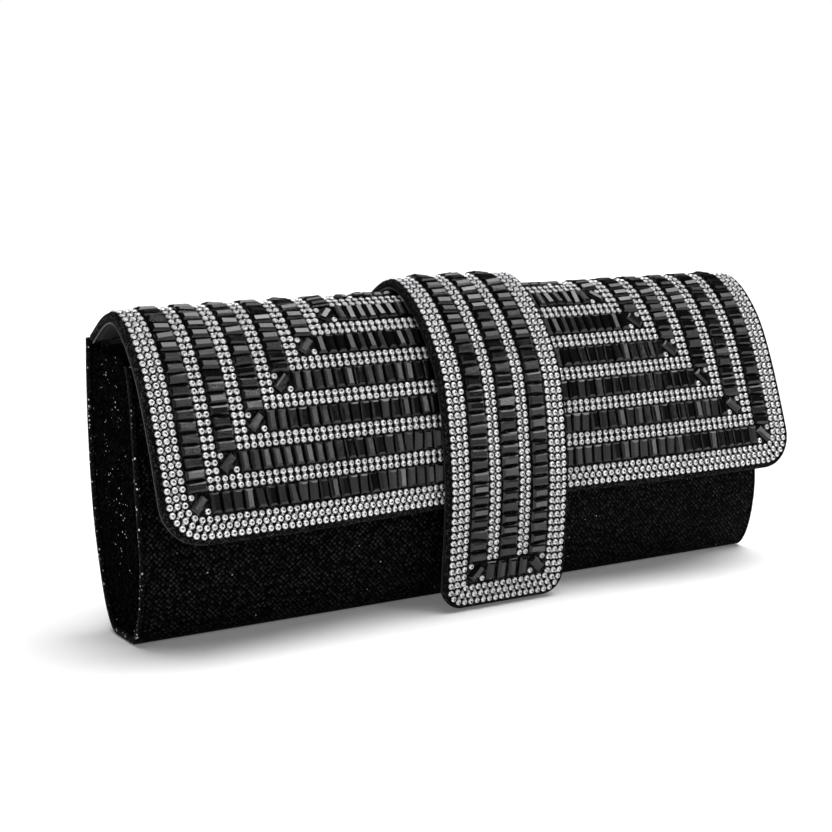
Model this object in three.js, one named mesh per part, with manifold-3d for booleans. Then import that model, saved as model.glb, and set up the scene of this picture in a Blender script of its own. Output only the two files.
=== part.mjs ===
// Evening clutch: a U-shaped board shell with end panels, a stone-set flap and a wrap-over strap.
// Millimetres, +Z up. X runs along the bag, -Y is the front. The origin is the middle of the underside.
// Every soft layer follows a side profile in the YZ plane, swept along X: s is the distance along the
// profile in millimetres and n is the distance outwards from the fabric's outer face.

import * as THREE from 'three';
import { mergeVertices } from 'three/addons/utils/BufferGeometryUtils.js';
import Module from 'manifold-3d';

const wasm = await Module();
wasm.setup();

// ---------------------------------------------------------------- driving dimensions

const LENGTH = 226;
const HALF = LENGTH / 2;
const BACK_TOP = 84.5;               // the back panel's top edge
const END_TOP = 81.6;                // the end panels' top edge

// Layers of each wall, as distances below the fabric's outer face.
const SHELL = { cover: [-0.5, 0], board: [-2.1, -0.8], lining: [-2.8, -2.4] };
const FLAP = { cover: [-0.5, 0], board: [-2.3, -0.8], lining: [-3.1, -2.6] };
const STRAP = { cover: [-0.5, 0], board: [-1.9, -0.8], backing: [-2.6, -2.2] };
const BAGUETTES = [0.45, 1.35];       // the stones stand on the fabric between these heights
const ROUND_STONES = [0.45, 0.95];    // as deep as gives the glass of separate stones with gaps

const END_INSET = 0.8;               // the end panels sit this far inside the shell's ends
const END_COVER = 0.5;
const END_BOARD = 1.4;
const END_LINING = 0.4;
const END_CORNER_DROP = 3.6;          // the rounded front top corner of an end panel
const END_CORNER_REACH = 6;
const LAYER_GAP = 0.3;
const LINING_CLEARANCE = 0.2;

const FLAP_CORNER = 12;              // corner radius of the flap's hem
const STRAP_HALF = 22;
const STRAP_CORNER = 7;

// Stonework: rows of round stones 2.24 apart and bands of baguettes 6 long, repeating every 10.5.
const PITCH = 10.5;
const BAGUETTE_BAND = 5.9;
const TWO_ROW_BAND = 4.2;
const THREE_ROW_BAND = 6.8;
const BAND_GAP = 0.2;
const FLAP_MARGIN = 1.15;             // bare fabric round the flap's stones
const FLAP_BANDS = 7;
const FLAP_STONES_START = 2;         // the stones begin this far from the flap's sewn edge
const STRAP_MARGIN = 0.9;
const STRAP_STONES_START = 1.5;
const STRAP_BAND_GAP = 0.42;

// The strap presses the lower edge of the flap inwards.
const BOW_DEPTH = 8.2;
const BOW_HALF_LENGTH = 85;
const BOW_TOP = 66.5;                // height where the flap starts to bend
const BOW_RISE = 32.3;
const BOW_POWER = 1.2;
const BOW_DROP = 0.12;               // share of the bow that lowers the hem

// The front panel swells a little towards the snap.
const SWELL_DEPTH = 5.5;
const SWELL_HALF_LENGTH = 95;
const SWELL_BOTTOM = 2.5;
const SWELL_TOP = 77.5;

// Magnetic snap
const SNAP_HEIGHT = 23;
const SNAP_RADIUS = 7;
const SOCKET_DEPTH = 3.7;
const SOCKET_HOLE = 3.7;
const SOCKET_WALL = 0.7;
const SOCKET_SEAT = 1;               // thickness of the cup's floor
const SOCKET_LIFT = 0.4;
const MAGNET_RECESS = 0.2;
const STUD_PLATE = 1.2;
const STUD_RADIUS = 2.4;
const STUD_DEPTH = 1.3;
const BACKPLATE_RADIUS = 4.5;
const BACKPLATE_DEPTH = 0.5;
const STUD_BACKPLATE_LIFT = 0.2;
const WINDOW_LIFT = -4;              // the board is cut away round each backplate
const WINDOW_DEPTH = 6;
const SNAP_SIDES = 20;

// Slip pocket on the back wall, and the narrow trims
const POCKET_HALF = 60;
const POCKET_LAYER = [-4, -3.5];
const POCKET_BINDING_LAYER = [-4.3, -3.2];
const POCKET_BINDING_HEIGHT = 5;
const MOUTH_BINDING_HEIGHT = 1.2;
const HINGE_LAYER = [-3.7, -3.1];
const HINGE_STRIP_INSET = 1;
const HINGE_STRIP_HEIGHT = 14;
const HINGE_STRIP_DROP = 0.8;
const POCKET_DROP = 3;
const POCKET_BOTTOM = 22;
const TAB_LAYER = [0.3, 1.4];
const TAB_START = 1.2;
const TAB_END = 6.4;

// How finely the curved walls are faceted
const FACET_ERROR = 0.11;
const SHORTEST_FACET = 1.5;
const LONGEST_FACET = 16;
const FOLD_SEARCH_STEP = 0.25;
const CORNER_STEPS = 4;
const SHARPEST_CORNER = 0.5;
const BISECTIONS = 40;
const MERGE_DISTANCE = 1e-4;
const TIGHT_BEND_END = 32;           // the flap is tightly bent up to this distance from its sewn edge
const COLUMNS = 8;                   // strips of equal width that the flap is folded into
const SHELL_COLUMNS = 6;
const COLUMN_WIDTH = LENGTH / COLUMNS;

// ---------------------------------------------------------------- materials

function material(color, roughness, metalness = 0) {
  return new THREE.MeshStandardMaterial({ color, roughness, metalness });
}

const glitterFabric = () => material(0x141416, 0.75);
const plainFabric = () => material(0x0d0d0f, 0.85);
const satin = () => material(0x1a1a1d, 0.5);
const paperboard = () => material(0x8a8378, 0.9);
const crystal = () => material(0xe6e8ec, 0.15);
const jet = () => material(0x08080a, 0.12);
const steel = () => material(0xb9bcc2, 0.3, 1);
const ferrite = () => material(0x33343a, 0.6, 0.4);

// ---------------------------------------------------------------- side profiles

// Front top edge, down the front, round to the flat base, and up the back.
const shellProfile = new THREE.Path();
shellProfile.moveTo(-2.7, 79.8);
shellProfile.bezierCurveTo(-6.6, 72.5, -6, 55, -9.5, 29);
shellProfile.bezierCurveTo(-10.8, 20, -7.6, 0, -0.5, 0);
shellProfile.lineTo(10, 0);
shellProfile.bezierCurveTo(17, 0, 21, 13, 24.5, 27);
shellProfile.bezierCurveTo(27.5, 40, 29, 64, 27.2, BACK_TOP);

// From the sewn edge inside the back panel, over the top, and down to the hem.
const flapProfile = new THREE.Path();
flapProfile.moveTo(23.6, 85.6);
flapProfile.bezierCurveTo(19.3, 88.3, 14, 93.2, 8, 93.2);
flapProfile.bezierCurveTo(1.8, 93.2, -6.4, 84.8, -10.6, 77.3);
flapProfile.bezierCurveTo(-14.8, 70, -21.6, 52.4, -27.5, 32.9);

// From the strap's sewn end, over the flap, and down nearly to the table.
const strapProfile = new THREE.Path();
strapProfile.moveTo(21, 92.5);
strapProfile.bezierCurveTo(17.3, 95.5, 13, 97.7, 8.5, 97.7);
strapProfile.bezierCurveTo(0.5, 97.7, -12.2, 87, -19, 72.6);
strapProfile.bezierCurveTo(-22.3, 65.6, -23.8, 50, -24.6, 42);
strapProfile.bezierCurveTo(-25.3, 33, -23.4, 14, -21.9, 0.9);

function cosineBump(x, halfLength) {
  if (Math.abs(x) >= halfLength) return 0;
  return Math.cos((Math.PI / 2) * (x / halfLength)) ** 2;
}

// How far the flap is pushed in at x, where the unbent flap is at height z.
function flapBow(x, z) {
  const reach = Math.max(0, (BOW_TOP - z) / BOW_RISE) ** BOW_POWER;
  const depth = BOW_DEPTH * reach * cosineBump(x, BOW_HALF_LENGTH);
  return new THREE.Vector2(depth, -BOW_DROP * depth);
}

// How far the front panel stands out at x and height z: none at its top, bottom and ends.
function shellSwell(x, z, y) {
  const t = (z - SWELL_BOTTOM) / (SWELL_TOP - SWELL_BOTTOM);
  if (t <= 0 || t >= 1 || y > 0) return new THREE.Vector2(0, 0);
  const peak = (1 / 3) ** 1.5 * (2 / 3) ** 3;
  const share = (t ** 1.5 * (1 - t) ** 3) / peak;
  return new THREE.Vector2(-SWELL_DEPTH * share * cosineBump(x, SWELL_HALF_LENGTH), 0);
}

// The distances along a profile where a faceted wall needs a fold, so that no facet strays from the
// curve by more than FACET_ERROR. The profile's own corners are folds too.
function foldLines(profile) {
  const length = profile.getLength();
  const folds = [0];
  let cornerAt = 0;
  for (const curve of profile.curves) {
    const curveEnd = cornerAt + curve.getLength();
    let from = cornerAt;
    for (let s = from; s < curveEnd - SHORTEST_FACET; s += FOLD_SEARCH_STEP) {
      const turn = profile.getTangent(from / length).angleTo(profile.getTangent(s / length));
      const tooCurved = ((s - from) * turn) / 8 > FACET_ERROR;
      if (s - from > SHORTEST_FACET && (tooCurved || s - from > LONGEST_FACET)) {
        folds.push(s);
        from = s;
      }
    }
    folds.push(curveEnd);
    cornerAt = curveEnd;
  }
  return folds;
}

// A profile swept along X, with an optional shift of the whole wall at each place.
function sweptSurface(profile, shift) {
  const length = profile.getLength();
  return {
    length,
    folds: foldLines(profile),
    point(x, s, n) {
      const t = THREE.MathUtils.clamp(s / length, 0, 1);
      const base = profile.getPoint(t);
      const along = profile.getTangent(t);
      const moved = shift ? shift(x, base.y, base.x) : new THREE.Vector2(0, 0);
      const y = base.x + along.y * n + moved.x;
      const z = base.y - along.x * n + moved.y;
      return new THREE.Vector3(x, y, z);
    },
  };
}

const shell = sweptSurface(shellProfile, shellSwell);
const flap = sweptSurface(flapProfile, flapBow);
const strap = sweptSurface(strapProfile, null);

// ---------------------------------------------------------------- solids

// A box whose grid points are carried to place(u, v, w), each of them from 0 to 1.
function bentBox(columns, rows, place) {
  const geometry = new THREE.BoxGeometry(1, 1, 1, columns, rows, 1);
  const position = geometry.getAttribute('position');
  for (let i = 0; i < position.count; i += 1) {
    const u = position.getX(i) + 0.5;
    const v = position.getY(i) + 0.5;
    const w = position.getZ(i) + 0.5;
    const p = place(u, v, w);
    position.setXYZ(i, p.x, p.y, p.z);
  }
  alignBackDiagonals(geometry);
  geometry.computeVertexNormals();
  return geometry;
}

// Splits the box's back face along the same diagonals as its front face, so that two bent sheets
// face each other across an even gap. A quad is stored as a b d, b c d and becomes a b c, a c d.
function alignBackDiagonals(geometry) {
  const back = geometry.groups[5];
  const index = geometry.getIndex();
  for (let i = back.start; i < back.start + back.count; i += 6) {
    const a = index.getX(i);
    const c = index.getX(i + 4);
    index.setX(i + 2, c);
    index.setX(i + 3, a);
  }
}

// The values of a list at a share from 0 to 1 of its length.
function pick(list, share) {
  return list[Math.round(share * (list.length - 1))];
}

function evenSteps(from, to, count) {
  return Array.from({ length: count + 1 }, (_, i) => from + ((to - from) * i) / count);
}

// The folds of a surface between two distances, with both of them as ends.
function foldsBetween(surface, from, to) {
  const inner = surface.folds.filter((s) => s > from + FOLD_SEARCH_STEP && s < to - FOLD_SEARCH_STEP);
  return [from, ...inner, to];
}

// A sheet on a surface between two distances along it. Its far corners may be rounded.
function sheet(surface, options) {
  const { half, layer, from = 0, to = surface.length, centre = 0, columns = COLUMNS, corner = 0 } = options;
  const stations = foldsBetween(surface, from, to - corner);
  if (corner > 0) {
    const arc = evenSteps(0, Math.PI / 2, CORNER_STEPS).slice(1);
    stations.push(...arc.map((a) => to - corner + corner * Math.sin(a)));
  }
  const [low, high] = layer;
  return bentBox(columns, stations.length - 1, (u, v, w) => {
    const s = pick(stations, 1 - v);
    const into = Math.max(0, s - (to - corner));
    const narrowed = corner > 0 ? corner - Math.sqrt(Math.max(0, corner ** 2 - into ** 2)) : 0;
    const x = centre + (2 * u - 1) * (half - narrowed);
    return surface.point(x, s, low + (high - low) * w);
  });
}

// The corner points of a U-shaped line that keeps the given distance inside a sheet's three edges.
// columns and rows are where the two legs and the foot of the U are folded, and the last stretch of
// each leg is folded into cornerSteps parts.
function uLine({ half, end, corner }, inset, columns, rows, cornerSteps) {
  const radius = Math.max(corner - inset, SHARPEST_CORNER);
  const side = half - inset;
  const bottom = end - inset;
  const lastStretch = evenSteps(columns.at(-1), bottom - radius, cornerSteps).slice(1);
  const leg = [...columns, ...lastStretch].map((s) => [-side, s]);
  for (const a of [Math.PI / 6, Math.PI / 3]) {
    const x = -side + radius * (1 - Math.cos(a));
    leg.push([x, bottom - radius + radius * Math.sin(a)]);
  }
  const foot = [-(side - radius), ...rows, side - radius].map((x) => [x, bottom]);
  const otherLeg = [...leg].reverse().map(([x, s]) => [-x, s]);
  return [...leg, ...foot, ...otherLeg];
}

// A U-shaped band between two insets from a sheet's edges.
function uBand(surface, outline, [outer, inner], layer) {
  const clear = Math.max(outline.corner - outer, SHARPEST_CORNER) + SHORTEST_FACET;
  const columnEnd = outline.end - Math.max(outer + clear, inner + SHORTEST_FACET);
  const columns = foldsBetween(surface, outline.start, columnEnd).slice(0, -1);
  const rowEnd = outline.half - Math.max(outer + clear, inner + SHORTEST_FACET);
  const strips = Math.floor(rowEnd / COLUMN_WIDTH);
  const rows = [];
  for (let i = -strips; i <= strips; i += 1) rows.push(i * COLUMN_WIDTH);
  const steps = outline.end - inner < TIGHT_BEND_END ? 3 : 1;
  const outerLine = uLine(outline, outer, columns, rows, steps);
  const innerLine = uLine(outline, inner, columns, rows, steps);
  const [low, high] = layer;
  return bentBox(steps + 1, outerLine.length - 1, (u, v, w) => {
    const [outerX, outerS] = pick(outerLine, v);
    const [innerX, innerS] = pick(innerLine, v);
    const x = innerX + (outerX - innerX) * u;
    const s = innerS + (outerS - innerS) * u;
    return surface.point(x, s, low + (high - low) * w);
  });
}

// A round piece turned about Z from a profile of [radius, height] points.
function turned(points) {
  const geometry = new THREE.LatheGeometry(points.map(([r, z]) => new THREE.Vector2(r, z)), SNAP_SIDES);
  return geometry.rotateX(Math.PI / 2);
}

function disc(radius, depth) {
  return turned([[0, 0], [radius, 0], [radius, depth], [0, depth]]);
}

function toManifold(mesh) {
  mesh.updateMatrix();
  const bare = mesh.geometry.clone().applyMatrix4(mesh.matrix);
  bare.deleteAttribute('normal');
  bare.deleteAttribute('uv');
  const merged = mergeVertices(bare, MERGE_DISTANCE);
  const vertProperties = new Float32Array(merged.getAttribute('position').array);
  const triVerts = new Uint32Array(merged.index.array);
  return new wasm.Manifold(new wasm.Mesh({ numProp: 3, vertProperties, triVerts }));
}

// One mesh with another cut out of it.
function cutOut(geometry, cutter) {
  const cut = toManifold(new THREE.Mesh(geometry)).subtract(toManifold(cutter)).getMesh();
  const result = new THREE.BufferGeometry();
  result.setAttribute('position', new THREE.BufferAttribute(new Float32Array(cut.vertProperties), 3));
  result.setIndex(Array.from(cut.triVerts));
  result.computeVertexNormals();
  return result;
}

const bag = new THREE.Group();

function add(name, geometry, look) {
  const mesh = new THREE.Mesh(geometry, look);
  mesh.name = name;
  bag.add(mesh);
  return mesh;
}

// Stands a piece that was turned about Z on a wall, its axis along the wall's outward direction.
function standOn(mesh, surface, s, n) {
  const foot = surface.point(0, s, n);
  const outward = surface.point(0, s, n + 1).sub(foot).normalize();
  mesh.position.copy(foot);
  mesh.quaternion.setFromUnitVectors(new THREE.Vector3(0, 0, 1), outward);
}

// The distance along a surface, between two others, where the middle of the wall is at height z.
function distanceAtHeight(surface, z, from, to) {
  const falling = surface.point(0, from, 0).z > surface.point(0, to, 0).z;
  let low = from;
  let high = to;
  for (let i = 0; i < BISECTIONS; i += 1) {
    const middle = (low + high) / 2;
    const above = surface.point(0, middle, 0).z > z;
    if (above === falling) low = middle;
    else high = middle;
  }
  return (low + high) / 2;
}

// ---------------------------------------------------------------- body

const [upperFront, lowerFront, baseLine] = shellProfile.curves;
const frontLength = upperFront.getLength() + lowerFront.getLength();
const baseEnd = frontLength + baseLine.getLength();
const LINING_HALF = HALF - END_INSET - END_COVER - END_BOARD - END_LINING - 3 * LAYER_GAP;

function buildShell() {
  const socketS = distanceAtHeight(shell, SNAP_HEIGHT, 0, frontLength);
  const window = new THREE.Mesh(disc(BACKPLATE_RADIUS + LAYER_GAP, WINDOW_DEPTH));
  standOn(window, shell, socketS, WINDOW_LIFT);
  const wall = { half: HALF, columns: SHELL_COLUMNS };
  add('shell_board', cutOut(sheet(shell, { ...wall, layer: SHELL.board }), window), paperboard());
  add('shell_cover', sheet(shell, { ...wall, layer: SHELL.cover }), glitterFabric());
  add('shell_lining', sheet(shell, { ...wall, half: LINING_HALF, layer: SHELL.lining }), satin());
  buildSnapSocket(socketS);
  buildTrims();
}

// The end panels' outline: the shell's section inside its board, with a rounded front top corner.
function endOutline(clearance) {
  const depth = SHELL.board[0] - clearance;
  const frontTop = distanceAtHeight(shell, END_TOP - END_CORNER_DROP, 0, frontLength);
  const backTop = distanceAtHeight(shell, END_TOP, baseEnd, shell.length);
  const wall = foldsBetween(shell, frontTop, backTop).map((s) => shell.point(HALF, s, depth));
  const outline = new THREE.Shape();
  outline.moveTo(wall[0].y, wall[0].z);
  for (const p of wall.slice(1)) outline.lineTo(p.y, p.z);
  outline.lineTo(wall[0].y + END_CORNER_REACH, END_TOP);
  outline.quadraticCurveTo(wall[0].y + END_CORNER_DROP / 2, END_TOP, wall[0].y, wall[0].z);
  return outline;
}

// A flat panel between two distances in from the shell's end, on the left (-1) or the right (+1).
function endPanel(side, outline, inset, thickness) {
  const panel = new THREE.ExtrudeGeometry(outline, {
    depth: thickness,
    bevelEnabled: false,
    curveSegments: 3,
  });
  panel.rotateY(Math.PI / 2);
  panel.rotateX(Math.PI / 2);
  const outerFace = side * (HALF - inset);
  panel.translate(side > 0 ? outerFace - thickness : outerFace, 0, 0);
  return panel;
}

function buildEnd(side, word) {
  const boardInset = END_INSET + END_COVER + LAYER_GAP;
  const liningInset = boardInset + END_BOARD + LAYER_GAP;
  const outline = endOutline(LAYER_GAP);
  add(`${word}_end_cover`, endPanel(side, outline, END_INSET, END_COVER), glitterFabric());
  add(`${word}_end_board`, endPanel(side, outline, boardInset, END_BOARD), paperboard());
  const liningOutline = endOutline(LAYER_GAP + LINING_CLEARANCE);
  add(`${word}_end_lining`, endPanel(side, liningOutline, liningInset, END_LINING), satin());
}

function buildTrims() {
  const mouth = sweptSurface(shellTopEdge(), null);
  const fullDepth = [SHELL.lining[0], SHELL.cover[1]];
  add('mouth_binding', sheet(mouth, { half: LINING_HALF, layer: fullDepth, columns: 1 }), plainFabric());

  const hingeEnd = shell.length - HINGE_STRIP_DROP;
  const hingeStart = hingeEnd - HINGE_STRIP_HEIGHT;
  const hingeHalf = LINING_HALF - HINGE_STRIP_INSET;
  const hinge = { from: hingeStart, to: hingeEnd, half: hingeHalf, layer: HINGE_LAYER, columns: 1 };
  add('hinge_strip', sheet(shell, hinge), plainFabric());

  const pocketTop = hingeStart - POCKET_DROP;
  const pocketBottom = distanceAtHeight(shell, POCKET_BOTTOM, baseEnd, shell.length);
  const seam = pocketTop - POCKET_BINDING_HEIGHT;
  const pocket = { half: POCKET_HALF, columns: 1 };
  const panel = { ...pocket, from: pocketBottom, to: seam - LAYER_GAP, layer: POCKET_LAYER };
  const edge = { ...pocket, from: seam, to: pocketTop, layer: POCKET_BINDING_LAYER };
  add('slip_pocket', sheet(shell, panel), satin());
  add('pocket_binding', sheet(shell, edge), plainFabric());
}

// A short path that carries the front wall's line on above its top edge.
function shellTopEdge() {
  const top = shellProfile.getPoint(0);
  const along = shellProfile.getTangent(0);
  const far = MOUTH_BINDING_HEIGHT + LAYER_GAP;
  const path = new THREE.Path();
  path.moveTo(top.x - along.x * far, top.y - along.y * far);
  path.lineTo(top.x - along.x * LAYER_GAP, top.y - along.y * LAYER_GAP);
  return path;
}

function buildSnapSocket(s) {
  const rim = SNAP_RADIUS;
  const wall = rim - SOCKET_WALL;
  const cup = turned([
    [SOCKET_HOLE, 0], [rim, 0], [rim, SOCKET_DEPTH], [wall, SOCKET_DEPTH],
    [wall, SOCKET_SEAT], [SOCKET_HOLE, SOCKET_SEAT], [SOCKET_HOLE, 0],
  ]);
  const ringOuter = wall - LAYER_GAP;
  const ringLow = SOCKET_SEAT + LAYER_GAP;
  const ringHigh = SOCKET_DEPTH - MAGNET_RECESS;
  const ring = turned([
    [SOCKET_HOLE, ringLow], [ringOuter, ringLow], [ringOuter, ringHigh], [SOCKET_HOLE, ringHigh],
    [SOCKET_HOLE, ringLow],
  ]);
  standOn(add('snap_socket', cup, steel()), shell, s, SOCKET_LIFT);
  standOn(add('snap_magnet', ring, ferrite()), shell, s, SOCKET_LIFT);
  const plateLift = SHELL.board[0];
  standOn(add('socket_backplate', disc(BACKPLATE_RADIUS, BACKPLATE_DEPTH), steel()), shell, s, plateLift);
}

// ---------------------------------------------------------------- flap

function buildFlap() {
  const shape = { half: HALF, corner: FLAP_CORNER };
  add('flap_board', sheet(flap, { ...shape, layer: FLAP.board }), paperboard());
  add('flap_cover', sheet(flap, { ...shape, layer: FLAP.cover }), plainFabric());
  add('flap_lining', sheet(flap, { ...shape, layer: FLAP.lining }), satin());
  const tab = { from: TAB_START, to: TAB_END, half: STRAP_HALF, layer: TAB_LAYER, columns: 1 };
  add('strap_tab', sheet(flap, tab), plainFabric());
  buildFlapStones();
}

function flapBand(insets, layer) {
  const outline = { half: HALF, start: FLAP_STONES_START, end: flap.length, corner: FLAP_CORNER };
  return uBand(flap, outline, insets, layer);
}

function buildFlapStones() {
  const borderEnd = FLAP_MARGIN + THREE_ROW_BAND;
  add('flap_stone_border', flapBand([FLAP_MARGIN, borderEnd], ROUND_STONES), crystal());
  for (let i = 0; i < FLAP_BANDS; i += 1) {
    const outer = borderEnd + BAND_GAP + i * PITCH;
    const inner = outer + BAGUETTE_BAND;
    const stones = inner + BAND_GAP;
    const rows = [stones, stones + TWO_ROW_BAND];
    add(`flap_baguettes_${i + 1}`, flapBand([outer, inner], BAGUETTES), jet());
    add(`flap_stone_rows_${i + 1}`, flapBand(rows, ROUND_STONES), crystal());
  }
}

// ---------------------------------------------------------------- strap

function strapBand(insets, layer) {
  const ends = { start: STRAP_STONES_START, end: strap.length };
  return uBand(strap, { half: STRAP_HALF, corner: STRAP_CORNER, ...ends }, insets, layer);
}

function strapColumn(centre, width, end, layer) {
  const ends = { from: STRAP_STONES_START, to: end };
  return sheet(strap, { ...ends, half: width / 2, centre, layer, columns: 1 });
}

function buildStrap() {
  const studS = distanceAtHeight(strap, SNAP_HEIGHT, strap.length / 2, strap.length);
  const window = new THREE.Mesh(disc(BACKPLATE_RADIUS + LAYER_GAP, WINDOW_DEPTH));
  standOn(window, strap, studS, WINDOW_LIFT);
  const shape = { half: STRAP_HALF, corner: STRAP_CORNER, columns: 2 };
  add('strap_board', cutOut(sheet(strap, { ...shape, layer: STRAP.board }), window), paperboard());
  add('strap_cover', sheet(strap, { ...shape, layer: STRAP.cover }), plainFabric());
  add('strap_backing', sheet(strap, { ...shape, layer: STRAP.backing }), satin());

  const borderEnd = STRAP_MARGIN + THREE_ROW_BAND;
  const outer = borderEnd + STRAP_BAND_GAP;
  const inner = outer + BAGUETTE_BAND;
  const columnEnd = strap.length - inner - STRAP_BAND_GAP;
  const rowCentre = STRAP_HALF - inner - STRAP_BAND_GAP - TWO_ROW_BAND / 2;
  const column = (centre) => strapColumn(centre, TWO_ROW_BAND, columnEnd, ROUND_STONES);
  add('strap_stone_border', strapBand([STRAP_MARGIN, borderEnd], ROUND_STONES), crystal());
  add('strap_baguette_border', strapBand([outer, inner], BAGUETTES), jet());
  add('strap_stone_rows_left', column(-rowCentre), crystal());
  add('strap_stone_rows_right', column(rowCentre), crystal());
  const centreWidth = 2 * (rowCentre - TWO_ROW_BAND / 2 - STRAP_BAND_GAP);
  add('strap_baguettes', strapColumn(0, centreWidth, columnEnd, BAGUETTES), jet());
  buildStud(studS);
}

// The stud points backwards out of the strap, so it is turned with its nose at negative heights.
function buildStud(s) {
  const back = STRAP.backing[0] - LAYER_GAP;
  const stud = turned([
    [0, -STUD_PLATE - STUD_DEPTH], [STUD_RADIUS, -STUD_PLATE - STUD_DEPTH], [STUD_RADIUS, -STUD_PLATE],
    [SNAP_RADIUS, -STUD_PLATE], [SNAP_RADIUS, 0], [0, 0],
  ]);
  standOn(add('snap_stud', stud, steel()), strap, s, back);
  const plateLift = STRAP.board[0] + STUD_BACKPLATE_LIFT;
  standOn(add('stud_backplate', disc(BACKPLATE_RADIUS, BACKPLATE_DEPTH), steel()), strap, s, plateLift);
}

// ---------------------------------------------------------------- assembly

buildShell();
buildEnd(-1, 'left');
buildEnd(1, 'right');
buildFlap();
buildStrap();

export default bag;
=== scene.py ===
import math
from dataclasses import dataclass

import bmesh
import bpy
import numpy as np
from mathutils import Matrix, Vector


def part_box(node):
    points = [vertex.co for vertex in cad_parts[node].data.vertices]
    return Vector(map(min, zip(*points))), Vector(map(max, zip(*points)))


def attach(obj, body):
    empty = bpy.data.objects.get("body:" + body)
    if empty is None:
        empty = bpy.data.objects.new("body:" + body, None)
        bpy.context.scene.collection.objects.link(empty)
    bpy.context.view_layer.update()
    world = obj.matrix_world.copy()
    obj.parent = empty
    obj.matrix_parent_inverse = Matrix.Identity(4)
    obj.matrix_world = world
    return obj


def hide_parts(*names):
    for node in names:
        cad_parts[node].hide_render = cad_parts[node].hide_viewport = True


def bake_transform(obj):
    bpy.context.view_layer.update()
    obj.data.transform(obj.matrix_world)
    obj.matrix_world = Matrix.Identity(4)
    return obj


# Evening clutch: fabric shell, stone-set flap and wrap-over strap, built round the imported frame.
# Sizes are in millimetres until make_mesh() turns them into metres. Every soft layer follows a side
# profile in the YZ plane, swept along X: s is the distance along the profile and n is the distance
# outwards from the fabric's outer face.

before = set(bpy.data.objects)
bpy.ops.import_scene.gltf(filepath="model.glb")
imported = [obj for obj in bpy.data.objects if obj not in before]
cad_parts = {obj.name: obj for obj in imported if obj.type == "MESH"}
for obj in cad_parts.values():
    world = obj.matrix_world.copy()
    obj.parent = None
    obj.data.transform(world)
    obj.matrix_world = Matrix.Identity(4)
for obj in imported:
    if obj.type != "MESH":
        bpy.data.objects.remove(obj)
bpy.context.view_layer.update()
MM = 0.001
RANDOM = np.random.default_rng(11)


def near_corner(node):
    return np.array(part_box(node)[0]) / MM


def far_corner(node):
    return np.array(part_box(node)[1]) / MM


# ---------------------------------------------------------------- driving sizes

HALF = far_corner("shell_cover")[0]
LINING_HALF = far_corner("shell_lining")[0]
STRAP_HALF = far_corner("strap_cover")[0]
POCKET_HALF = far_corner("slip_pocket")[0]
END_TOP = far_corner("left_end_cover")[2]
END_INSET = HALF + near_corner("left_end_cover")[0]
END_THICK = far_corner("left_end_board")[0] - near_corner("left_end_cover")[0]
END_CORNER_DROP = 3.6
END_CORNER_REACH = 6
END_CROWN = 0.5
END_LINING_DROP = 1
PANEL_DEPTH = -2.35  # of the end panels' edges, below the shell's outer face
PANEL_EASE = 0.9

FLAP_CORNER = 12
STRAP_CORNER = 7
FLAP_LINING_INSET = 0.25
STRAP_LINING_INSET = 0.2
STRAP_TAB_INSET = 0.4
STRAP_TAB_THICK = 1
STRAP_TAB_LIFT = 0.4  # of the tab's sewn end over the flap

# Each layer's two faces, as distances outwards from the fabric's outer face, and its rim's radius.
SHELL_LAYER = (0, -2.33, 0.9)
SHELL_LINING_LAYER = (-2.36, -2.8, 0.2)
HINGE_STRIP_LAYER = (-3.1, -3.7, 0.25)
POCKET_LAYER = (-3.3, -3.75, 0.2)
FLAP_LAYER = (0, -2.42, 0.8)
FLAP_LINING_LAYER = (-2.52, -3.1, 0.25)
STRAP_LAYER = (0, -2.05, 0.7)
STRAP_BACKING_LAYER = (-2.1, -2.6, 0.2)

HINGE_STRIP_WIDTH = 14
HINGE_STRIP_DROP = 0.8  # below the back wall's top edge
HINGE_SEAM = 1.4  # from the strip's lower edge
HINGE_CLOTH_THICK = 0.35
POCKET_FOOT_LIFT = 0.2
POCKET_DROP = 3  # of the pocket's mouth, below the hinge strip
POCKET_BINDING_DEPTH = 0.5  # of the pocket's own edge inside its binding
POCKET_SEAM_TOP = 5  # below the mouth
POCKET_SEAM_INSET = 1.2
POCKET_LOOSE = 0.9  # how far the mouth stands open
POCKET_LOOSE_HALF = 1.02 * POCKET_HALF
POCKET_TRIM_OVERHANG = 0.2
BINDING_THICK = 0.3
BINDING_FOLD = 1.5  # how far the fold reaches past the edge that it covers
BINDING_SEAM = 1  # from the binding's own edge
BINDING_RIM = 0.14
MOUTH_TRIM = (-3.14, 0.34, 3.4)  # heights of its two leaves, and their width
POCKET_TRIM = (-4.1, -2.95, 4.6)
SEAM_END = 2  # from the last stitch to the side of the cloth

PITCH = 10.5  # one baguette band and one band of two stone rows
BAGUETTE_BAND = 5.9
TWO_ROW_BAND = 4.2
THREE_ROW_BAND = 6.8
BAND_GAP = 0.2
FLAP_MARGIN = 1.15
FLAP_BANDS = 7
FLAP_STONES_START = 2
STRAP_MARGIN = 0.9
STRAP_STONES_START = 1.5
STRAP_BAND_GAP = 0.42

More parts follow.
